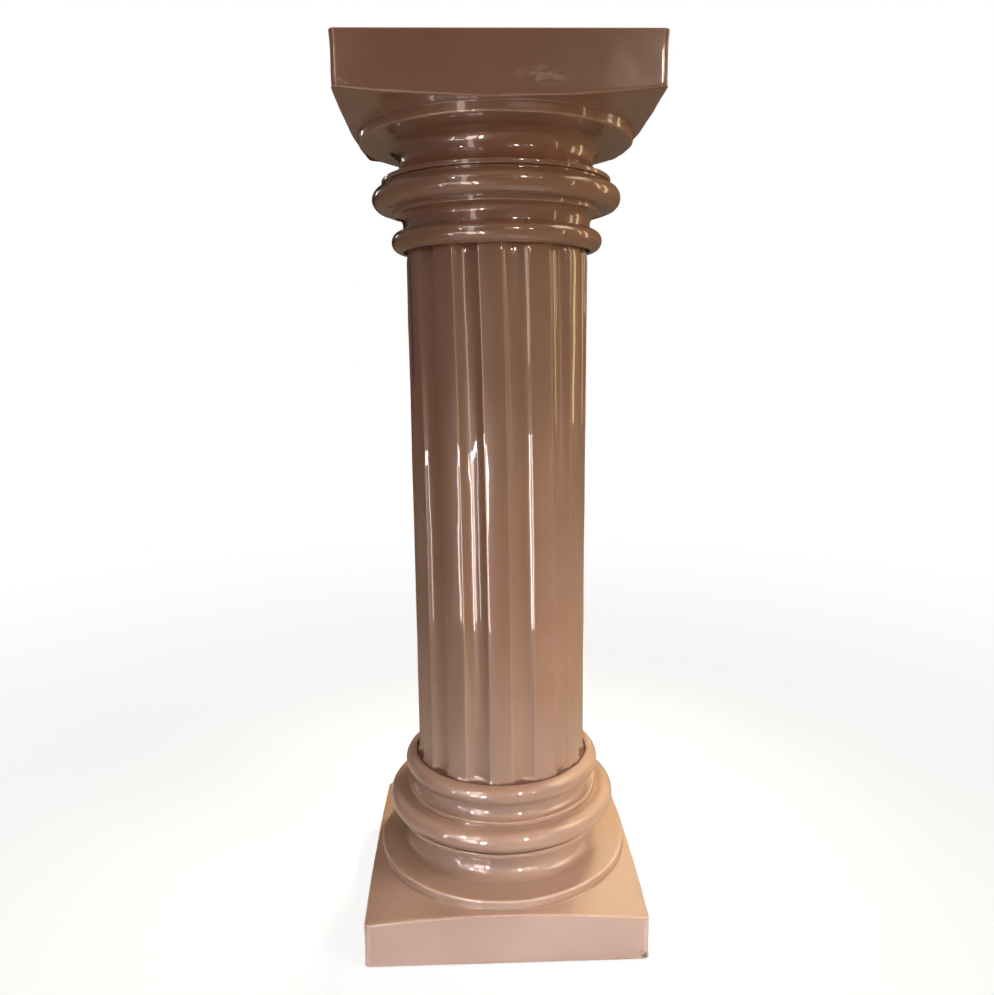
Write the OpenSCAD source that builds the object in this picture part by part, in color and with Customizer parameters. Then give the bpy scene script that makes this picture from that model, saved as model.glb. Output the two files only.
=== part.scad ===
// Glazed ceramic column in three cast pieces: a base, a fluted shaft and a capital.
// The capital repeats the base's form upside down. Millimetres, +Z up, origin at the
// centre of the underside. Every moulding is sized by how far it stands out from the shaft.

/* [Overall] */
// Height from the underside of the base to the top of the capital
total_h = 907; // [500:1:1400]
// Radius of the shaft over the flats between its flutes
shaft_r = 97; // [70:0.5:130]

/* [Slab] */
// Thickness of a slab at its corners
slab_t = 48; // [20:1:80]
// Rise of a slab's domed face from its corners to the step ring
slab_crown = 9; // [4:0.5:15]
// How far each side of a slab lies outside the step ring
slab_margin = 6.5; // [2:0.5:30]
// Radius of a slab's upright corners
slab_corner_r = 5; // [1:0.5:15]

/* [Step ring] */
// How far the step ring stands out from the shaft
step_out = 45.5; // [36:0.5:56]
// Height of the step ring's side above the domed face
step_h = 10; // [4:0.5:20]
// Rise of the ledge from the step ring's edge to the cove
ledge_rise = 2; // [0.5:0.5:4]

/* [Cove] */
// Radius of the cove's hollow curve
cove_r = 16; // [12:0.5:21]
// Depth of the cove, measured inwards from the lower fillet
cove_depth = 18.5; // [15:0.5:23]
// How far the lower fillet, the thin band between cove and torus, stands out from the shaft
low_fillet_out = 23; // [19:0.5:28]
// Height of the lower fillet
low_fillet_h = 4.5; // [2:0.5:10]

/* [Torus] */
// How far the torus stands out from the shaft
torus_out = 33.5; // [27:0.5:41]
// Radius of the torus's round section
torus_section_r = 11.5; // [9:0.5:14]
// Width of the groove between the lower fillet and the torus
groove_w = 3.5; // [1:0.5:6]
// Distance of the groove's floor inside the torus's crest
groove_inset = 2.5; // [1:0.5:5]
// Depth of the flat shoulder between crest and upper fillet, below the crest
shoulder_drop = 1; // [0.5:0.5:3]

/* [Neck] */
// How far the upper fillet, the band above the torus, stands out from the shaft
top_fillet_out = 12; // [9:0.5:15]
// Height of the upper fillet above the torus's crest
top_fillet_h = 4; // [2:0.5:8]
// Radius of the hollow sweep from the upper fillet to the neck
neck_sweep_r = 10; // [7:0.5:12]
// Length of the plain neck between the sweep and the round ring
neck_h = 6.5; // [3:0.5:20]

/* [Round ring] */
// How far the round ring, which holds the shaft, stands out from the shaft
ring_out = 14.5; // [12:0.5:18]
// Radius of the round ring's section
ring_section_r = 10.5; // [8.5:0.5:13]

/* [Seats] */
// Depth to which the shaft stands in the base, and in the capital
seat_depth = 8; // [4:0.5:14]
// Clearance between the shaft and the wall of each seat
seat_gap = 2; // [1:0.25:4]

/* [Flutes] */
// Number of flutes around the shaft
flute_count = 12; // [6:1:15]
// Width of one flute across its mouth
flute_w = 26.5; // [10:0.5:32]
// Depth of one flute below the shaft's surface
flute_depth = 5; // [2.5:0.5:8]

/* [Hidden] */
glaze = [0.47, 0.36, 0.31];
$fn = 144;

// Radii of the mouldings.
step_r = shaft_r + step_out;
low_fillet_r = shaft_r + low_fillet_out;
cove_mid_r = low_fillet_r - cove_depth + cove_r;
crest_r = shaft_r + torus_out - torus_section_r;
groove_r = crest_r - groove_inset;
top_fillet_r = shaft_r + top_fillet_out;
neck_r = top_fillet_r - neck_sweep_r;
ring_mid_r = shaft_r + ring_out - ring_section_r;
seat_r = shaft_r + seat_gap;
slab_w = 2 * (step_r + slab_margin);

// Heights along the mouldings, from a slab's outer face towards the shaft.
step_z = slab_t + slab_crown;
step_top = step_z + step_h;
ledge_top = step_top + ledge_rise;
cove_z = ledge_top + cove_r;
low_fillet_z = cove_z + cove_r;
groove_z = low_fillet_z + low_fillet_h;
torus_z = groove_z + groove_w + torus_section_r;
crest_z = torus_z + torus_section_r;
neck_z = crest_z + top_fillet_h + neck_sweep_r;
ring_z = neck_z + neck_h + ring_section_r;
moulding_h = ring_z + ring_section_r;
seat_z = moulding_h - seat_depth;
shaft_h = total_h - 2 * seat_z;

// Sphere of the domed face: it passes through the slab's corners and the foot of the step ring.
corner_reach = slab_w / sqrt(2);
crown_drop = (pow(corner_reach, 2) - pow(step_r, 2) - pow(slab_crown, 2)) / (2 * slab_crown);
crown_r = sqrt(pow(crown_drop, 2) + pow(corner_reach, 2));

// Circle of one flute, from its chord on the shaft's surface.
flute_mouth = sqrt(pow(shaft_r, 2) - pow(flute_w / 2, 2));
flute_sag = flute_mouth - (shaft_r - flute_depth);
flute_r = (pow(flute_w / 2, 2) + pow(flute_sag, 2)) / (2 * flute_sag);

// Square with rounded corners.
module slab_outline() {
    reach = slab_w / 2 - slab_corner_r;
    square([slab_w, 2 * reach], center = true);
    square([2 * reach, slab_w], center = true);
    for (x = [-reach, reach], y = [-reach, reach]) {
        translate([x, y]) circle(r = slab_corner_r);
    }
}

// Slab with a flat outer face at z = 0 and a domed inner face.
module slab() {
    intersection() {
        linear_extrude(height = step_z) slab_outline();
        translate([0, 0, slab_t - crown_drop]) sphere(r = crown_r, $fn = 360);
    }
}

// Band of the half section, from the axis out to radius r, between two heights.
module band(r, low, high) {
    translate([0, low]) square([r, high - low]);
}

// Half section of the mouldings, from inside the slab to the round ring.
module moulding_section() {
    difference() {
        union() {
            band(step_r, slab_t / 2, step_top);
            polygon([[0, step_top], [step_r, step_top], [low_fillet_r, ledge_top], [0, ledge_top]]);
            band(low_fillet_r, ledge_top, groove_z);
            band(groove_r, groove_z, torus_z);
            band(crest_r, torus_z, crest_z - shoulder_drop);
            translate([crest_r, torus_z]) circle(r = torus_section_r);
            band(top_fillet_r, torus_z, neck_z);
            band(neck_r, neck_z, ring_z);
            band(ring_mid_r, ring_z, moulding_h);
            translate([ring_mid_r, ring_z]) circle(r = ring_section_r);
        }
        translate([cove_mid_r, cove_z]) circle(r = cove_r);
        translate([top_fillet_r, neck_z]) circle(r = neck_sweep_r);
        band(seat_r, seat_z, moulding_h + 1);
    }
}

// Base: slab and mouldings cast as one piece, with the shaft's seat in its round ring.
module base() {
    color(glaze) union() {
        slab();
        rotate_extrude() moulding_section();
    }
}

// Shaft: a cylinder with straight flutes, standing in the seats at both ends.
module shaft() {
    color(glaze) translate([0, 0, seat_z]) difference() {
        cylinder(r = shaft_r, h = shaft_h);
        for (i = [0 : flute_count - 1]) {
            rotate([0, 0, 360 / flute_count * (i + 0.5)])
                translate([0, -(shaft_r - flute_depth + flute_r), -1])
                    cylinder(r = flute_r, h = shaft_h + 2);
        }
    }
}

// Capital: the base's form turned upside down.
module capital() {
    translate([0, 0, total_h]) mirror([0, 0, 1]) base();
}

base();
shaft();
capital();
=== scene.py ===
"""Looks of the glazed ceramic column: three glazed castings, a pale floor, soft lights and the camera."""
import math

import bpy
import numpy as np
from mathutils import Matrix, Vector


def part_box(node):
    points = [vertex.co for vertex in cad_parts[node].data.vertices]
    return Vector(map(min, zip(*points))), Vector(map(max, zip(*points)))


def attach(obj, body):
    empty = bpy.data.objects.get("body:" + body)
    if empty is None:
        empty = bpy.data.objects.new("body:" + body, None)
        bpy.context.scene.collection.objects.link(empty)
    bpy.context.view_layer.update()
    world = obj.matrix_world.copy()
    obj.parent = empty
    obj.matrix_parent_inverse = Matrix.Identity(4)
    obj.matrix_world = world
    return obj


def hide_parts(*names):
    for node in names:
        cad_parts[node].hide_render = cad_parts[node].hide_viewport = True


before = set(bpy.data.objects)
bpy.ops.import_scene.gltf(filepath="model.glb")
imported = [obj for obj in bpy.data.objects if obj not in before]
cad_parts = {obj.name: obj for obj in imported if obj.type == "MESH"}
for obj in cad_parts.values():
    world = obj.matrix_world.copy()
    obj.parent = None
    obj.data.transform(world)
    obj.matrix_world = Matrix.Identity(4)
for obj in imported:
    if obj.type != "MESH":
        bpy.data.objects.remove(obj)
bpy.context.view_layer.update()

MM = 0.001


# ---------------------------------------------------------------- sizes, in millimetres
# The overall sizes come from the CAD boxes. The others repeat the CAD model's section.
base_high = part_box("base")[1]
SLAB_HALF, MOULDING_H = base_high.x / MM, base_high.z / MM
SEAT_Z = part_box("shaft")[0].z / MM
TOTAL_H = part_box("capital")[1].z / MM
SHAFT_R, SEAT_R = 97.0, 99.0

SLAB_T, SLAB_CROWN, SLAB_CORNER_R = 48.0, 9.0, 5.0
STEP_R, STEP_H, LEDGE_RISE = 142.5, 10.0, 2.0
STEP_Z = SLAB_T + SLAB_CROWN
STEP_TOP = STEP_Z + STEP_H
LEDGE_TOP = STEP_TOP + LEDGE_RISE
COVE_R, COVE_DEPTH = 16.0, 18.5
LOW_FILLET_R, LOW_FILLET_H = 120.0, 4.5
COVE_MID_R = LOW_FILLET_R - COVE_DEPTH + COVE_R
COVE_Z = LEDGE_TOP + COVE_R
GROOVE_Z = LEDGE_TOP + 2 * COVE_R + LOW_FILLET_H
GROOVE_W, GROOVE_INSET = 3.5, 2.5
TORUS_SECTION_R, CREST_R = 11.5, 119.0
GROOVE_R = CREST_R - GROOVE_INSET
TORUS_Z = GROOVE_Z + GROOVE_W + TORUS_SECTION_R
CREST_Z = TORUS_Z + TORUS_SECTION_R
TOP_FILLET_R, TOP_FILLET_H, SHOULDER_DROP = 109.0, 4.0, 1.0
TOP_FILLET_Z = CREST_Z + TOP_FILLET_H
SWEEP_R = 10.0
NECK_R = TOP_FILLET_R - SWEEP_R
NECK_Z = TOP_FILLET_Z + SWEEP_R
RING_SECTION_R, RING_MID_R = 10.5, 101.0
RING_Z = MOULDING_H - RING_SECTION_R

# The domed face is part of a sphere through the slab's corners and the foot of the step ring.
CORNER_REACH = SLAB_HALF * math.sqrt(2)
CROWN_DROP = (CORNER_REACH**2 - STEP_R**2 - SLAB_CROWN**2) / (2 * SLAB_CROWN)
CROWN_R = math.hypot(CROWN_DROP, CORNER_REACH)

FLUTES, FLUTE_W, FLUTE_DEPTH = 12, 26.5, 5.0

# What the castings have and the CAD solids don't. COAT is how far the glaze rounds every corner of the
# section lines, which are first drawn at DENSE_STEP.
COAT, DENSE_STEP = 0.85, 0.2
FOOT_EDGE_R, FACE_EDGE_R, SHAFT_EDGE_R, STEP_EDGE_R = 1.8, 2.3, 2.0, 2.4
# The shaft's head is drawn in under the ring, and glaze has pooled round its foot.
HEAD_IN, HEAD_H = 1.3, 13.0
POOL_DROP, POOL_H, POOL_GAP = 3.0, 8.5, 0.35
# The shaft's flutes turn, in degrees, and its foot and waist are narrower by a share of its radius.
TURN_AT_FOOT, TURN_TO_HEAD = 1.9, 4.2
FOOT_NARROWING, WAIST_NARROWING = 0.0115, 0.0035


# ---------------------------------------------------------------- section lines
def arc(cx, cy, r, start, end, count):
    """Points on an arc, angles in degrees."""
    t = np.radians(np.linspace(start, end, count))
    return [(cx + r * math.cos(a), cy + r * math.sin(a)) for a in t]


def soften(points, closed=False, longest=9.0, turn=8.3):
    """Rounds a line's corners as a coat of glaze does, and spaces its points by how fast it bends: at
    most longest apart, in millimetres, and with at most turn degrees of bend from one to the next.
    Returns the points and the bend at each, in 1/mm, above 0 where the line turns left."""
    pts = np.array(points, float)
    if closed:
        pts = np.vstack([pts, pts[:1]])
    along = np.r_[0, np.cumsum(np.hypot(*np.diff(pts, axis=0).T))]
    count = int(along[-1] / DENSE_STEP) + 1
    t = np.linspace(0, along[-1], count, endpoint=not closed)
    dense = np.stack([np.interp(t, along, pts[:, i]) for i in (0, 1)], 1)
    step = t[1]
    w = int(4 * COAT / step) + 1
    kernel = np.exp(-0.5 * (np.arange(-w, w + 1) * step / COAT) ** 2)
    kernel /= kernel.sum()
    if closed:
        wide = np.vstack([dense[-w:], dense, dense[:w]])
    else:
        wide = np.vstack([2 * dense[0] - dense[w:0:-1], dense, 2 * dense[-1] - dense[-2 : -w - 2 : -1]])
    line = np.stack([np.convolve(wide[:, i], kernel, "valid") for i in (0, 1)], 1)
    if closed:
        ring = np.vstack([line[-1:], line, line[:1]])
    else:
        ring = np.vstack([2 * line[0] - line[1], line, 2 * line[-1] - line[-2]])
    d = np.diff(ring, axis=0)
    heading = np.unwrap(np.arctan2(d[:, 1], d[:, 0]))
    bend = np.diff(heading) / step
    cost = 1 / longest + np.abs(bend) / math.radians(turn)
    total = np.r_[0, np.cumsum((cost[1:] + cost[:-1]) / 2 * step)]
    picks = np.linspace(0, total[-1], int(total[-1]) + 2, endpoint=not closed)
    at = np.interp(picks, total, np.arange(len(line)))
    out = np.stack([np.interp(at, np.arange(len(line)), line[:, i]) for i in (0, 1)], 1)
    return out, np.interp(at, np.arange(len(line)), bend)


def crown_z(radius):
    """Height of the slab's domed face at a distance from the axis."""
    return SLAB_T - CROWN_DROP + np.sqrt(CROWN_R**2 - np.asarray(radius) ** 2)


def moulding_line():
    """Half section of the mouldings, from the domed face to the middle of the shaft's seat."""
    outside = STEP_R + 3.0
    p = [(outside, float(crown_z(outside))), (STEP_R, STEP_Z)]
    p += arc(STEP_R - STEP_EDGE_R, STEP_TOP - STEP_EDGE_R, STEP_EDGE_R, 0, 88, 16)
    # The ledge runs in until it meets the cove, just off the cove's lowest point.
    start = -82
    meet = COVE_MID_R + COVE_R * math.cos(math.radians(start))
    p += [(meet + 1.0, LEDGE_TOP - 0.3)]
    p += arc(COVE_MID_R, COVE_Z, COVE_R, start, -180, 50)
    end = math.degrees(math.acos((LOW_FILLET_R - COVE_MID_R) / COVE_R))
    p += arc(COVE_MID_R, COVE_Z, COVE_R, 180, end, 50)[1:]
    p += [(LOW_FILLET_R, GROOVE_Z), (GROOVE_R, GROOVE_Z)]
    # The torus rises from the groove, and turns down a little past its crest to the shoulder.
    under, past = math.degrees(math.asin(GROOVE_INSET / TORUS_SECTION_R)), 24
    p += arc(CREST_R, TORUS_Z, TORUS_SECTION_R, -90 - under, 90 + past, 80)
    p += [(TOP_FILLET_R, CREST_Z - SHOULDER_DROP), (TOP_FILLET_R, TOP_FILLET_Z)]
    p += arc(TOP_FILLET_R, NECK_Z, SWEEP_R, -90, -180, 40)[1:]
    under = math.degrees(math.asin((RING_MID_R - NECK_R) / RING_SECTION_R))
    p += arc(RING_MID_R, RING_Z, RING_SECTION_R, -90 - under, 90, 70)
    p += [(SEAT_R, MOULDING_H), (SEAT_R, SEAT_Z), (60.0, SEAT_Z)]
    return soften(p)


def flute_line():
    """Outline of the fluted shaft, seen from above, with a flat's middle at angle 0."""
    mouth = math.sqrt(SHAFT_R**2 - (FLUTE_W / 2) ** 2)
    sag = mouth - (SHAFT_R - FLUTE_DEPTH)
    r = ((FLUTE_W / 2) ** 2 + sag**2) / (2 * sag)
    c = SHAFT_R - FLUTE_DEPTH + r
    half = math.asin(FLUTE_W / 2 / SHAFT_R)
    period = 2 * math.pi / FLUTES
    points = []
    for i in range(FLUTES):
        mid = i * period
        for a in np.linspace(mid - period / 2 + half, mid + period / 2 - half, 30):
            points.append((SHAFT_R * math.cos(a), SHAFT_R * math.sin(a)))
        for d in np.linspace(-half, half, 42)[1:-1]:
            t = c * math.cos(d) - math.sqrt(r**2 - (c * math.sin(d)) ** 2)
            a = mid + period / 2 + d
            points.append((t * math.cos(a), t * math.sin(a)))
    return soften(points, closed=True, longest=2.6, turn=9.0)


# ---------------------------------------------------------------- mesh helpers
def waves(points, seed, shortest, longest, count=14):
    """Smooth unevenness at each point, mostly between -1 and 1, and the same on every run."""
    rng = np.random.default_rng(seed)
    total = np.zeros(len(points))
    for _ in range(count):
        d = rng.normal(size=3)
        d /= np.linalg.norm(d)
        length = rng.uniform(shortest, longest)
        total += np.sin(points @ d * (2 * math.pi / length) + rng.uniform(0, 2 * math.pi))
    return total / math.sqrt(count) * 0.8


def rounded_square(angles, half, corner):
    """Distance from the axis to a rounded square at each angle."""
    a = np.abs((angles + math.pi / 4) % (math.pi / 2) - math.pi / 4)
    reach = half / np.cos(a)
    c = half - corner
    on_corner = half * np.tan(a) > c
    dot = c * (np.cos(a) + np.sin(a))
    round_reach = dot + np.sqrt(np.maximum(dot**2 - 2 * c**2 + corner**2, 0))
    return np.where(on_corner, round_reach, reach)


def lathe_mesh(name, rows, marks):
    """Closed mesh from rings of points, (rings, around, 3) in millimetres, capped at both ends.
    marks holds one value per point for each named attribute."""
    rings, around = rows.shape[:2]
    co = rows.reshape(-1, 3)
    ends = np.array([rows[0].mean(0), rows[-1].mean(0)])
    co = np.vstack([co, ends])
    i = np.arange(rings - 1)[:, None] * around
    k = np.arange(around)[None, :]
    n = (k + 1) % around
    quads = np.stack([i + k, i + n, i + around + n, i + around + k], -1).reshape(-1, 4)
    faces = [tuple(q) for q in quads.tolist()]
    first, last = len(co) - 2, len(co) - 1
    top = (rings - 1) * around
    faces += [(first, (j + 1) % around, j) for j in range(around)]
    faces += [(last, top + j, top + (j + 1) % around) for j in range(around)]
    mesh = bpy.data.meshes.new(name)
    mesh.from_pydata((co * MM).tolist(), [], faces)
    for key, values in marks.items():
        attribute = mesh.attributes.new(key, "FLOAT", "POINT")
        flat = np.r_[values.reshape(-1), 0.0, 0.0].astype(np.float32)
        attribute.data.foreach_set("value", flat)
    mesh.validate()
    mesh.update()
    mesh.shade_smooth()
    piece = bpy.data.objects.new(name, mesh)
    bpy.context.collection.objects.link(piece)
    return piece


def bend_mark(bend, low=0.12, high=0.5):
    """0 on flat and gently curved places, towards 1 on arrises and towards -1 in corners."""
    return np.sign(bend) * np.clip((np.abs(bend) - low) / (high - low), 0, 1)


# ---------------------------------------------------------------- base and capital
def cast_moulding(name, upside_down, seed):
    """One casting: slab, mouldings and the shaft's seat. The capital is the base turned over."""
    steps = [np.radians(np.arange(0, 360, 1.25))]
    for corner in (45, 135, 225, 315):
        steps.append(np.radians(corner + np.linspace(-1.9, 1.9, 17)))
    angles = np.unique(np.round(np.concatenate(steps) % (2 * math.pi), 5))
    cos, sin = np.cos(angles), np.sin(angles)
    off_middle = np.tan((angles + math.pi / 4) % (math.pi / 2) - math.pi / 4)
    near_corner = np.abs((angles % (math.pi / 2)) - math.pi / 4) < math.radians(1.2)

    radii, heights, arris = [], [], []

    def ring(radius, z, mark=0.0):
        radii.append(np.broadcast_to(radius, angles.shape))
        heights.append(np.broadcast_to(z, angles.shape))
        arris.append(np.broadcast_to(mark, angles.shape))

    def square(inset):
        return rounded_square(angles, SLAB_HALF - inset, SLAB_CORNER_R - inset)

    # The outer face, its rounded edge, the side, the inner edge, and the domed face in to the step ring.
    outer, outline, inner = square(FOOT_EDGE_R), square(0), square(FACE_EDGE_R)
    for share in (0.08, 0.3, 0.55, 0.8, 0.95, 0.985):
        ring(outer * share, 0.0)
    for t in np.radians(np.linspace(90, 0, 8)):
        reach = square(FOOT_EDGE_R * (1 - math.cos(t)))
        ring(reach, FOOT_EDGE_R * (1 - math.sin(t)), 0.75 * math.sin(2 * t))
    rise = crown_z(outline)
    side_h = rise - FACE_EDGE_R - FOOT_EDGE_R
    side_mark = np.where(near_corner, 0.45, 0.0)
    for share in (0.02, 0.06, 0.15, 0.3, 0.45, 0.6, 0.75, 0.88, 0.96):
        ring(outline, FOOT_EDGE_R + side_h * share, side_mark)
    for t in np.radians(np.linspace(0, 86, 9)):
        reach = square(FACE_EDGE_R * (1 - math.cos(t)))
        ring(reach, rise - FACE_EDGE_R * (1 - math.sin(t)), 0.85 * math.sin(2 * t))
    line, bend = moulding_line()
    for share in (0.03, 0.1, 0.22, 0.4, 0.6, 0.8, 0.93):
        reach = inner + (line[0, 0] - inner) * share
        ring(reach, crown_z(reach))
    for (radius, z), mark in zip(line, bend_mark(bend)):
        ring(radius, z, mark)
    for radius in (30.0, 8.0):
        ring(radius, SEAT_Z)

    radii, heights, arris = np.array(radii), np.array(heights), np.array(arris)
    rows = np.stack([radii * cos, radii * sin, heights], -1)

    # A slip casting is never quite true: its surface swells and sinks by tenths of a millimetre, and the
    # slab's sides draw in by about a millimetre towards the corners.
    flat = rows.reshape(-1, 3)
    swell = waves(flat, seed, 45, 120).reshape(heights.shape)
    lumps = waves(flat, seed + 1, 16, 40).reshape(heights.shape)
    on_side = (radii > STEP_R + 2) & (heights < rise - 1)
    pillow = 1.1 * np.clip((np.abs(off_middle) - 0.62) / 0.38, 0, 1) ** 2
    push = np.where(on_side, -0.45 * np.abs(swell) - pillow, 0.32 * swell + 0.05 * lumps)
    push *= np.clip(heights / 12.0, 0, 1) * (radii > SEAT_R + 0.5)
    rows[..., 0] += push * cos
    rows[..., 1] += push * sin
    sink = np.where(radii > STEP_R + 1, 0.35 * (swell - 1.2), 0.15 * lumps)
    rows[..., 2] += sink * np.clip((heights - SLAB_T + 12) / 12.0, 0, 1) * (heights < MOULDING_H - 9)

    # Soil and painted shade of the seam gap round the shaft's seat, half as strong on the capital.
    soil_and_seam_shade = np.exp(-np.abs(radii - SEAT_R + 0.5) / 2.0) * (heights > MOULDING_H - 9)
    if upside_down:
        rows[..., 2] = TOTAL_H - rows[..., 2]
        rows = rows[:, ::-1]
        arris, soil_and_seam_shade = arris[:, ::-1], soil_and_seam_shade[:, ::-1] * 0.5
    return lathe_mesh(name, rows, {"arris": arris, "soil_and_seam_shade": soil_and_seam_shade})


# ---------------------------------------------------------------- shaft
def cast_shaft(name, seed):
    """The fluted shaft. Its flutes turn by a few degrees from foot to head, most of it near the head."""
    outline, bend = flute_line()
    reach = np.hypot(outline[:, 0], outline[:, 1])
    start = np.arctan2(outline[:, 1], outline[:, 0]) - math.pi / 2
    low, high = SEAT_Z, TOTAL_H - SEAT_Z
    inset, z = [], []
    for inward in (60.0, 20.0, 6.0):
        inset.append(inward)
        z.append(low)
    for t in np.radians(np.linspace(90, 0, 6)):
        inset.append(SHAFT_EDGE_R * (1 - math.cos(t)))
        z.append(low + SHAFT_EDGE_R * (1 - math.sin(t)))
    levels = [np.linspace(low + SHAFT_EDGE_R, high - SHAFT_EDGE_R, 130)[1:-1]]
    levels.append(MOULDING_H - POOL_DROP + np.linspace(0, POOL_H, 9))
    levels.append(TOTAL_H - MOULDING_H - np.linspace(0, HEAD_H, 9))
    for level in np.unique(np.round(np.concatenate(levels), 2)):
        inset.append(0.0)
        z.append(level)
    for t in np.radians(np.linspace(0, 90, 6)):
        inset.append(SHAFT_EDGE_R * (1 - math.cos(t)))
        z.append(high - SHAFT_EDGE_R * (1 - math.sin(t)))
    for inward in (6.0, 20.0, 60.0):
        inset.append(inward)
        z.append(high)
    inset, z = np.array(inset)[:, None], np.array(z)[:, None]
    up = (z - low) / (high - low)
    above_base, below_capital = z - MOULDING_H, TOTAL_H - MOULDING_H - z

    turn = -np.radians(TURN_AT_FOOT + TURN_TO_HEAD * up**2.3)
    narrowing = FOOT_NARROWING * (1 - up**1.6) + WAIST_NARROWING * np.sin(math.pi * up)
    radius = reach[None, :] * (1 - narrowing)
    # The head is drawn in a little under the ring. At the foot, glaze has run into a hollow fillet
    # against the ring.
    radius = radius - HEAD_IN * np.clip(1 - below_capital / HEAD_H, 0, 1) ** 2
    pool = np.clip(1 - (above_base + POOL_DROP) / POOL_H, 0, 1) ** 2.2
    radius = radius + (SEAT_R - POOL_GAP - radius) * pool - inset
    angle = start[None, :] + turn
    height = np.broadcast_to(z, radius.shape)
    rows = np.stack([radius * np.cos(angle), radius * np.sin(angle), height], -1)
    # The unevenness is drawn out along the shaft.
    flat = rows.reshape(-1, 3) * np.array([1, 1, 0.35])
    swell = waves(flat, seed, 30, 90).reshape(radius.shape)
    lumps = waves(flat, seed + 1, 14, 30).reshape(radius.shape)
    push = (-0.30 * np.abs(swell) + 0.05 * lumps - 0.05) * (inset < 1)
    rows[..., 0] += push * np.cos(angle)
    rows[..., 1] += push * np.sin(angle)

    arris = np.broadcast_to(0.5 * bend_mark(bend, 0.06, 0.32)[None, :], radius.shape)
    # Soil and painted shade of the gaps fill the seams at both ends, and stand higher in the flutes at
    # the foot.
    hollow = 1 + 1.2 * (SHAFT_R - reach) / FLUTE_DEPTH
    foot_soil_and_shade = np.exp(-np.maximum(above_base + 0.5, 0) / (1.7 * hollow))
    head_seam_shade = 0.5 * np.exp(-np.maximum(below_capital, 0) / 2.2)
    soil_and_seam_shade = np.broadcast_to(np.maximum(foot_soil_and_shade, head_seam_shade), radius.shape)
    return lathe_mesh(name, rows, {"arris": arris, "soil_and_seam_shade": soil_and_seam_shade})


# ---------------------------------------------------------------- places around the column
# The camera stands this far round from straight ahead of the column's front, to its left.
VIEW_TURN = math.radians(-1.85)


def place(azimuth, distance, height):
    """A spot around the column: azimuth in degrees from the camera's side, above 0 to the right."""
    a = math.radians(azimuth) + VIEW_TURN
    return Vector((distance * math.sin(a), -distance * math.cos(a), height))


# ---------------------------------------------------------------- materials
def colour_sockets(node):
    """The first two colour inputs and the colour output of a Mix node."""
    inputs = [s for s in node.inputs if s.type == "RGBA"]
    return inputs[0], inputs[1], [s for s in node.outputs if s.type == "RGBA"][0]


class Nodes:
    """Short calls for building one node material."""

    def __init__(self, name):
        self.material = bpy.data.materials.new(name)
        self.material.use_nodes = True
        self.tree = self.material.node_tree
        self.tree.nodes.clear()
        self.out = self.tree.nodes.new("ShaderNodeOutputMaterial")

    def add(self, kind, **settings):
        node = self.tree.nodes.new(kind)
        for key, value in settings.items():
            setattr(node, key, value)
        return node

    def link(self, source, target):
        self.tree.links.new(source, target)

    def noise(self, where, scale, detail=2.0, roughness=0.5):
        node = self.add("ShaderNodeTexNoise")
        node.inputs["Scale"].default_value = scale
        node.inputs["Detail"].default_value = detail
        node.inputs["Roughness"].default_value = roughness
        self.link(where, node.inputs["Vector"])
        return node.outputs["Fac"]

    def span(self, value, low, high, to_low=0.0, to_high=1.0):
        node = self.add("ShaderNodeMapRange", clamp=True, interpolation_type="SMOOTHSTEP")
        for key, v in (("From Min", low), ("From Max", high), ("To Min", to_low), ("To Max", to_high)):
            node.inputs[key].default_value = v
        self.link(value, node.inputs["Value"])
        return node.outputs["Result"]

    def math(self, kind, a, b):
        node = self.add("ShaderNodeMath", operation=kind)
        for socket, v in zip(node.inputs, (a, b)):
            if isinstance(v, (int, float)):
                socket.default_value = v
            else:
                self.link(v, socket)
        return node.outputs[0]

    def mix(self, share, a, b):
        node = self.add("ShaderNodeMix", data_type="RGBA")
        self.link(share, node.inputs["Factor"])
        first, second, result = colour_sockets(node)
        for socket, v in ((first, a), (second, b)):
            if isinstance(v, tuple):
                socket.default_value = (*v, 1.0)
            else:
                self.link(v, socket)
        return result

    def mark(self, name):
        return self.add("ShaderNodeAttribute", attribute_name=name).outputs["Fac"]

    def near(self, where, centre, reach):
        """1 at a place on the object, falling to 0 at reach from it."""
        node = self.add("ShaderNodeVectorMath", operation="DISTANCE")
        self.link(where, node.inputs[0])
        node.inputs[1].default_value = centre
        return self.span(node.outputs["Value"], reach * 0.35, reach, 1.0, 0.0)


# Colours of the glaze: its two tones, its mottle and specks, where it is thin, where it pooled with
# painted shade in the creases, and of the soil and painted shade in the seams, the wipe marks, the chip
# and the pits.
DEEP, LIGHT = (0.300, 0.162, 0.108), (0.345, 0.198, 0.139)
MOTTLED, SPECKED = (0.277, 0.142, 0.093), (0.22, 0.12, 0.08)
THIN, POOLED_AND_CREASE_SHADE = (0.50, 0.33, 0.25), (0.16, 0.073, 0.042)
SOIL_AND_SEAM_SHADE, WIPED = (0.105, 0.034, 0.014), (0.50, 0.38, 0.31)
CHIPPED, PITTED = (0.060, 0.035, 0.020), (0.62, 0.47, 0.38)

# Places of the marks on the front face, in metres, and how far each reaches.
FRONT_Y = -0.149
WIPE_X, WIPE_Z, WIPE_REACH, WIPE_FLATNESS = 0.037, 0.868, 0.031, 2.8
CHIP_AT, CHIP_REACH = (0.143, FRONT_Y, 0.0055), 0.0062
PITS, PIT_REACH = ((-0.1405, FRONT_Y, 0.864), (-0.1350, FRONT_Y, 0.8625)), 0.0034

# Heights of the glaze's ripple and of its fine unevenness, in metres.
RIPPLE_H, FINE_H = 0.00024, 0.000022


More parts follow.
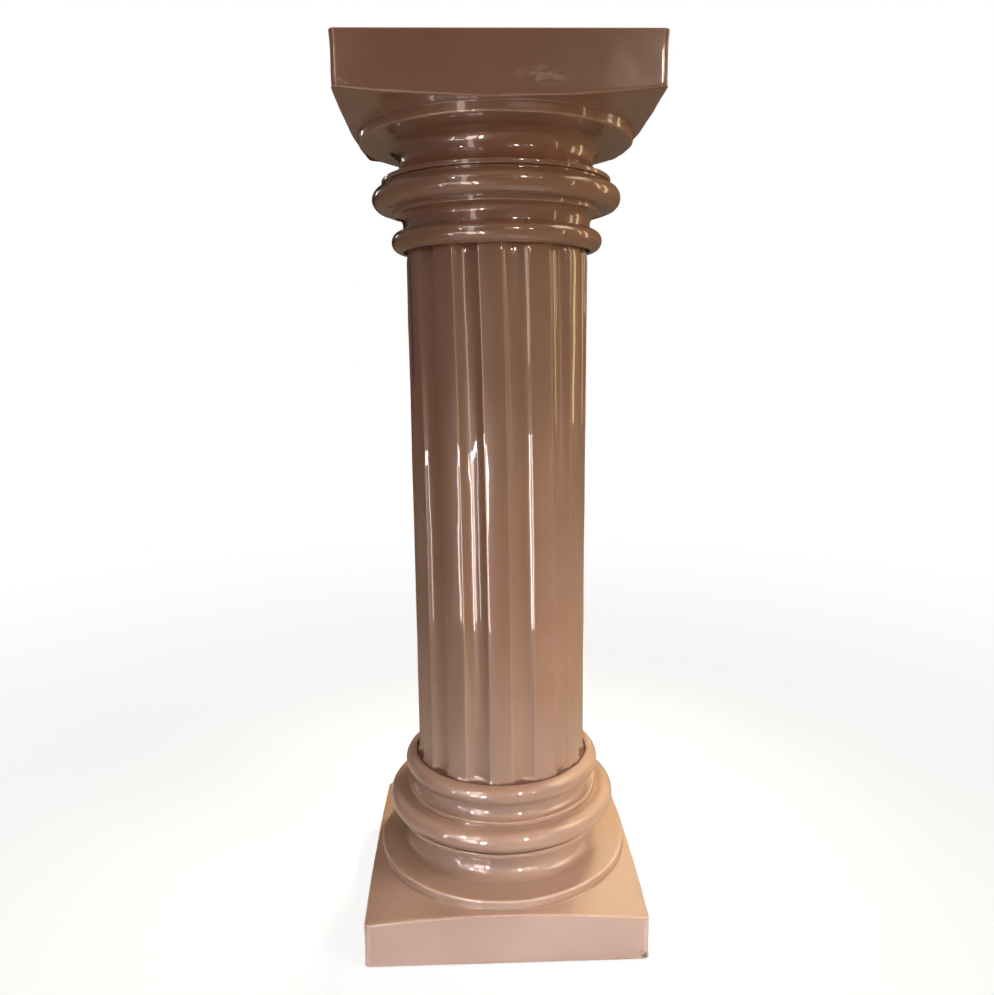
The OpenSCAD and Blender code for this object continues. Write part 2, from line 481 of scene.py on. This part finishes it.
def glaze_material():
    """Glossy clear glaze over a dusty rose-brown body: pale where it ran thin off the arrises, dark where
    it pooled, which also paints shade into the creases, and dark with soil and painted shade at the
    seams."""
    m = Nodes("glazed_ceramic")
    where = m.add("ShaderNodeTexCoord").outputs["Object"]
    cloud = m.noise(where, 7.0, 3.0)
    mottle = m.noise(where, 60.0, 4.0, 0.6)
    grain = m.noise(where, 900.0, 1.0)
    arris = m.mark("arris")
    soil_and_seam_shade = m.mark("soil_and_seam_shade")

    colour = m.mix(m.span(cloud, 0.35, 0.65), DEEP, LIGHT)
    colour = m.mix(m.span(mottle, 0.30, 0.75, 0.0, 0.16), colour, MOTTLED)
    colour = m.mix(m.span(grain, 0.74, 0.86, 0.0, 0.10), colour, SPECKED)
    thin = m.math("MULTIPLY", m.span(arris, 0.1, 0.9), m.span(mottle, 0.3, 0.6, 0.45, 1.0))
    colour = m.mix(m.math("MULTIPLY", thin, 0.75), colour, THIN)
    # Darker in the corners: pooled glaze, and painted shade in the creases.
    pool = m.span(m.math("MULTIPLY", arris, -1.0), 0.05, 0.8, 0.0, 0.6)
    colour = m.mix(pool, colour, POOLED_AND_CREASE_SHADE)
    # Soil and painted shade in the seams, in patches.
    patches = m.span(m.noise(where, 40.0, 3.0), 0.46, 0.58)
    patches = m.math("MULTIPLY", m.span(soil_and_seam_shade, 0.2, 0.7), patches)
    stain_and_seam_shade = m.math("MAXIMUM", m.span(soil_and_seam_shade, 0.62, 0.9), patches)
    colour = m.mix(stain_and_seam_shade, colour, SOIL_AND_SEAM_SHADE)

    # Dried wipe marks on the front of the top slab.
    flattened = m.add("ShaderNodeVectorMath", operation="MULTIPLY")
    m.link(where, flattened.inputs[0])
    flattened.inputs[1].default_value = (1.0, 1.0, WIPE_FLATNESS)
    across = flattened.outputs["Vector"]
    wipe = m.near(across, (WIPE_X, FRONT_Y, WIPE_Z * WIPE_FLATNESS), WIPE_REACH)
    wipe = m.math("MULTIPLY", wipe, m.span(m.noise(across, 85.0, 5.0, 0.65), 0.43, 0.57))
    colour = m.mix(m.math("MULTIPLY", wipe, 0.65), colour, WIPED)

    # A chip at the foot's corner, and two pits in the glaze at the top slab's corner.
    ragged = m.span(m.noise(where, 300.0, 3.0), 0.40, 0.56)
    chip = m.math("MULTIPLY", m.near(where, CHIP_AT, CHIP_REACH), ragged)
    colour = m.mix(chip, colour, CHIPPED)
    for spot in PITS:
        ragged = m.span(m.noise(where, 500.0, 3.0), 0.42, 0.55)
        pit = m.math("MULTIPLY", m.near(where, spot, PIT_REACH), ragged)
        colour = m.mix(m.math("MULTIPLY", pit, 0.6), colour, PITTED)

    shader = m.add("ShaderNodeBsdfPrincipled")
    m.link(colour, shader.inputs["Base Color"])
    rough = m.span(mottle, 0.3, 0.7, 0.29, 0.38)
    dulled = m.math("ADD", m.math("MULTIPLY", wipe, 0.3), m.math("MULTIPLY", stain_and_seam_shade, 0.45))
    m.link(m.math("ADD", rough, dulled), shader.inputs["Roughness"])
    shader.inputs["IOR"].default_value = 1.5
    m.link(m.math("SUBTRACT", 1.0, m.math("MULTIPLY", stain_and_seam_shade, 0.9)), shader.inputs["Coat Weight"])
    shader.inputs["Coat Roughness"].default_value = 0.03
    shader.inputs["Coat IOR"].default_value = 1.55

    ripple = m.noise(where, 26.0, 2.0)
    fine = m.noise(where, 240.0, 2.0)
    height = m.math("ADD", m.math("MULTIPLY", ripple, RIPPLE_H), m.math("MULTIPLY", fine, FINE_H))
    bump = m.add("ShaderNodeBump")
    bump.inputs["Strength"].default_value = 1.0
    bump.inputs["Distance"].default_value = 1.0
    m.link(height, bump.inputs["Height"])
    m.link(bump.outputs["Normal"], shader.inputs["Normal"])
    m.link(bump.outputs["Normal"], shader.inputs["Coat Normal"])
    m.link(shader.outputs["BSDF"], m.out.inputs["Surface"])
    return m.material


# Share of the floor that the camera sees as an even white glow, and the floor's colour to all else.
FLOOR_GLOW, FLOOR_THROWN = 0.84, (0.35, 0.33, 0.31)
FADE_START, FADE_END = 0.45, 2.0


def floor_material():
    """Pale matt floor. What the camera sees of it is mostly an even white glow, with a little of its own
    light and shadow, and it fades out far from the column. To all else it is a plain matt grey floor."""
    m = Nodes("pale_floor")
    where = m.add("ShaderNodeTexCoord").outputs["Object"]
    tone = m.mix(m.noise(where, 3.0, 2.0), (0.84, 0.84, 0.84), (0.86, 0.86, 0.86))
    lit = m.add("ShaderNodeBsdfDiffuse")
    m.link(tone, lit.inputs["Color"])
    pale = m.add("ShaderNodeEmission")
    pale.inputs["Color"].default_value = (1.0, 1.0, 1.0, 1.0)
    lift = m.add("ShaderNodeMixShader")
    lift.inputs[0].default_value = FLOOR_GLOW
    m.link(lit.outputs["BSDF"], lift.inputs[1])
    m.link(pale.outputs["Emission"], lift.inputs[2])
    thrown = m.add("ShaderNodeBsdfDiffuse")
    thrown.inputs["Color"].default_value = (*FLOOR_THROWN, 1.0)
    reach = m.add("ShaderNodeVectorMath", operation="LENGTH")
    m.link(where, reach.inputs[0])
    fade = m.add("ShaderNodeMixShader")
    m.link(m.span(reach.outputs["Value"], FADE_START, FADE_END), fade.inputs[0])
    m.link(lift.outputs["Shader"], fade.inputs[1])
    m.link(m.add("ShaderNodeBsdfTransparent").outputs["BSDF"], fade.inputs[2])
    path = m.add("ShaderNodeLightPath")
    choose = m.add("ShaderNodeMixShader")
    m.link(path.outputs["Is Camera Ray"], choose.inputs[0])
    m.link(thrown.outputs["BSDF"], choose.inputs[1])
    m.link(fade.outputs["Shader"], choose.inputs[2])
    m.link(choose.outputs["Shader"], m.out.inputs["Surface"])
    return m.material


# ---------------------------------------------------------------- the three castings
glaze = glaze_material()
for piece, node in (
    (cast_moulding("base_casting", False, 11), "base"),
    (cast_shaft("shaft_casting", 23), "shaft"),
    (cast_moulding("capital_casting", True, 37), "capital"),
):
    piece.data.materials.append(glaze)
    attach(piece, "root")
    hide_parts(node)


# ---------------------------------------------------------------- floor
FLOOR_HALF, FLOOR_Z = 14.0, -0.0006

mesh = bpy.data.meshes.new("floor")
corners = [(x * FLOOR_HALF, y * FLOOR_HALF, 0) for x, y in ((-1, -1), (1, -1), (1, 1), (-1, 1))]
mesh.from_pydata(corners, [], [(0, 1, 2, 3)])
floor = bpy.data.objects.new("floor", mesh)
bpy.context.collection.objects.link(floor)
floor.location.z = FLOOR_Z
mesh.materials.append(floor_material())


# ---------------------------------------------------------------- lights
# Sizes are in metres and strengths in watts. The lights' places, sizes, strengths and colours were tuned
# against the photo, so that the glaze shows streaks, glints and shades like the photo's.
CARD_Z = 0.001
# Points on the column's axis that lights face.
FOOT, LOW, SHIN, MID = (0, 0, 0), (0, 0, 0.1), (0, 0, 0.2), (0, 0, 0.45)
WAIST, CHEST, HEAD = (0, 0, 0.5), (0, 0, 0.6), (0, 0, 0.7)


def panel(name, wide, tall, power, colour, shows, spread=180):
    """A soft panel, not yet in its place. shows is both, soft for light that leaves no reflection, or
    gleam for reflections alone."""
    light = bpy.data.lights.new(name, "AREA")
    light.shape = "RECTANGLE"
    light.size, light.size_y = wide, tall
    light.spread = math.radians(spread)
    light.energy, light.color = power, colour
    lamp = bpy.data.objects.new(name, light)
    bpy.context.collection.objects.link(lamp)
    lamp.visible_camera = False
    lamp.visible_diffuse = shows != "gleam"
    lamp.visible_glossy = shows != "soft"
    return lamp


def area(name, azimuth, distance, height, wide, tall, power, colour, aim, shows, spread=180):
    """A panel that stands round the column and faces aim."""
    lamp = panel(name, wide, tall, power, colour, shows, spread)
    lamp.location = place(azimuth, distance, height)
    lamp.rotation_euler = (Vector(aim) - lamp.location).to_track_quat("-Z", "Y").to_euler()


def card(name, side, ahead, wide, deep, power, colour, shows="both"):
    """A pale card that lies on the floor before the plinth and throws light up."""
    lamp = panel(name, wide, deep, power, colour, shows)
    lamp.location = place(0, ahead, CARD_Z) + Vector((side, 0, 0))
    lamp.rotation_euler = (math.pi, 0, VIEW_TURN)


for setup in (
    # name, azimuth, distance, height, width, tallness, watts, colour, aim, shows, spread in degrees
    ("wash", 10, 0.35, 4.5, 3.2, 3.2, 22, (1.0, 0.97, 0.92), FOOT, "soft"),
    ("wash_gleam", 10, 0.35, 4.5, 3.2, 3.2, 75, (1.0, 0.60, 0.32), FOOT, "gleam"),
    ("fill_front", 0, 2.4, 0.9, 1.6, 1.6, 9.0, (1.0, 0.55, 0.33), MID, "soft"),
    ("fill_right", 62, 2.2, 0.8, 1.2, 1.4, 6.0, (1.0, 0.36, 0.08), MID, "soft"),
    ("fill_low_right", 60, 1.6, 0.5, 1.0, 0.5, 2.0, (0.90, 1.0, 0.80), LOW, "soft", 60),
    ("plinth_front", -8, 1.5, 0.12, 0.4, 0.1, 0.27, (0.62, 0.83, 1.0), (0, -0.15, 0.02), "soft", 22),
    ("base_right", 60, 1.3, 1.1, 0.5, 0.4, 0.80, (0.90, 0.97, 1.0), (0.05, 0, 0.03), "soft", 32),
    ("base_left", -50, 1.3, 1.1, 0.5, 0.4, 0.33, (0.78, 0.92, 1.0), (-0.05, 0, 0.02), "soft", 25),
    ("base_back", 150, 1.3, 1.3, 0.5, 0.4, 2.6, (1.0, 1.0, 0.68), (0, 0.1, 0.03), "soft", 32),
    ("pane_right", -27, 1.0, 0.23, 0.17, 0.36, 2.2, (1.0, 0.78, 0.70), SHIN, "gleam"),
    ("pane_flute", -17, 1.0, 0.23, 0.07, 0.40, 2.2, (1.0, 0.86, 0.80), SHIN, "gleam"),
    ("pane_left", -51, 1.0, 0.23, 0.05, 0.36, 0.8, (1.0, 0.92, 0.90), SHIN, "gleam"),
    ("pane_top", -38, 1.0, 0.42, 0.46, 0.03, 1.0, (1.0, 0.94, 0.92), SHIN, "gleam"),
    ("pane_upper", -26, 1.0, 0.85, 0.10, 0.84, 1.1, (1.0, 0.86, 0.68), CHEST, "gleam"),
    ("left_back", -138, 1.8, 1.2, 0.10, 0.25, 0.5, (1.0, 0.95, 0.9), HEAD, "gleam"),
    ("lamp_near", 21, 3.0, 1.74, 0.15, 0.15, 4.5, (1.0, 0.95, 0.82), CHEST, "gleam"),
    ("lamp_far", 39, 3.0, 1.66, 0.13, 0.13, 3.0, (1.0, 0.95, 0.75), CHEST, "gleam"),
    ("gold_upper", 98, 1.3, 0.95, 0.11, 0.6, 0.8, (1.0, 0.82, 0.55), LOW, "gleam"),
    ("gold_top", 84, 1.2, 1.35, 0.6, 0.9, 0.9, (1.0, 0.84, 0.60), LOW, "gleam", 50),
    ("glint_right", 23, 1.8, 1.35, 0.08, 0.25, 0.60, (1.0, 0.92, 0.80), LOW, "gleam", 40),
    ("glint_left", -38, 1.8, 1.30, 0.06, 0.26, 0.34, (1.0, 0.94, 0.92), LOW, "gleam", 40),
    ("base_sheen", -30, 1.8, 1.5, 1.3, 1.0, 0.75, (0.90, 0.86, 1.0), (0, -0.05, 0.08), "gleam", 30),
    ("gold_panel", 112, 1.6, 0.85, 0.14, 0.9, 1.6, (1.0, 0.76, 0.42), WAIST, "gleam"),
    ("gold_strip", 72, 1.6, 0.70, 0.06, 0.9, 0.8, (1.0, 0.76, 0.42), WAIST, "gleam"),
):
    area(*setup)

for setup in (
    # name, to the side, ahead of the axis, width, depth, watts, colour, shows
    ("card_left", -0.34, 0.462, 0.34, 0.62, 0.28, (1.0, 0.95, 0.88)),
    ("card_middle", 0.0, 0.462, 0.34, 0.62, 0.22, (0.80, 0.88, 1.0)),
    ("card_shine", -0.10, 0.36, 0.60, 0.44, 0.9, (0.93, 0.88, 1.0), "gleam"),
    ("card_right", 0.34, 0.462, 0.34, 0.62, 0.25, (0.6, 0.8, 1.0)),
):
    card(*setup)


# ---------------------------------------------------------------- surround
world = bpy.data.worlds.new("surround")
bpy.context.scene.world = world
world.use_nodes = True
tree = world.node_tree
tree.nodes.clear()
toward = tree.nodes.new("ShaderNodeTexCoord").outputs["Generated"]


def glow(name, below, azimuth, elevation, reach, colour):
    """Adds a soft patch of light around one direction to the surround."""
    a, e = math.radians(azimuth) + VIEW_TURN, math.radians(elevation)
    dot = tree.nodes.new("ShaderNodeVectorMath")
    dot.operation = "DOT_PRODUCT"
    tree.links.new(toward, dot.inputs[0])
    dot.inputs[1].default_value = (math.sin(a) * math.cos(e), -math.cos(a) * math.cos(e), math.sin(e))
    share = tree.nodes.new("ShaderNodeMapRange")
    share.interpolation_type = "SMOOTHERSTEP"
    share.inputs["From Min"].default_value = math.cos(math.radians(reach))
    share.inputs["From Max"].default_value = 1.0
    tree.links.new(dot.outputs["Value"], share.inputs["Value"])
    add = tree.nodes.new("ShaderNodeMix")
    add.name = name
    add.data_type = "RGBA"
    add.blend_type = "ADD"
    add.clamp_result = False
    first, second, result = colour_sockets(add)
    tree.links.new(share.outputs["Result"], add.inputs["Factor"])
    if below is None:
        first.default_value = (0.0, 0.0, 0.0, 1.0)
    else:
        tree.links.new(below, first)
    second.default_value = (*colour, 1.0)
    return result


total = None
for setup in (
    # name, azimuth, elevation, reach in degrees, radiance
    ("glow_back", 130, 15, 55, (0.26, 0.13, 0.06)),
    ("glow_left", -90, 10, 60, (0.16, 0.15, 0.15)),
    ("glow_front", 5, 15, 45, (0.02, 0.06, 0.07)),
    ("glow_up", 0, 90, 70, (0.66, 0.50, 0.35)),
):
    total = glow(setup[0], total, *setup[1:])

# The camera sees plain white where the column sees the patches of light.
seen = tree.nodes.new("ShaderNodeBackground")
seen.inputs["Color"].default_value = (1.0, 1.0, 1.0, 1.0)
around = tree.nodes.new("ShaderNodeBackground")
tree.links.new(total, around.inputs["Color"])
path = tree.nodes.new("ShaderNodeLightPath")
choose = tree.nodes.new("ShaderNodeMixShader")
out = tree.nodes.new("ShaderNodeOutputWorld")
tree.links.new(path.outputs["Is Camera Ray"], choose.inputs[0])
tree.links.new(around.outputs[0], choose.inputs[1])
tree.links.new(seen.outputs[0], choose.inputs[2])
tree.links.new(choose.outputs[0], out.inputs["Surface"])

bpy.context.scene.view_settings.view_transform = "Standard"


# ---------------------------------------------------------------- camera
# The lens and sensor are in millimetres, the places in metres. The camera looks down by PITCH, and past
# the column's axis by FORWARD_TURN.
LENS, SENSOR = 30.9, 36.0
DISTANCE, EYE_HEIGHT = 0.945, 0.63
PITCH, ROLL, FORWARD_TURN = math.radians(9.7), math.radians(-0.55), math.radians(0.13)

camera_data = bpy.data.cameras.new("camera")
camera = bpy.data.objects.new("camera", camera_data)
bpy.context.collection.objects.link(camera)
camera_data.sensor_fit = "HORIZONTAL"
camera_data.sensor_width = SENSOR
camera_data.lens = LENS
camera_data.clip_start, camera_data.clip_end = 0.05, 60.0
yaw = FORWARD_TURN + VIEW_TURN
right = Vector((math.cos(yaw), math.sin(yaw), 0))
forward = Vector((-math.sin(yaw) * math.cos(PITCH), math.cos(yaw) * math.cos(PITCH), -math.sin(PITCH)))
up = right.cross(forward)
c, s = math.cos(ROLL), math.sin(ROLL)
right, up = c * right + s * up, -s * right + c * up
turn = Matrix((right, up, -forward)).transposed().to_4x4()
camera.matrix_world = Matrix.Translation(place(0, DISTANCE, EYE_HEIGHT)) @ turn
bpy.context.scene.camera = camera
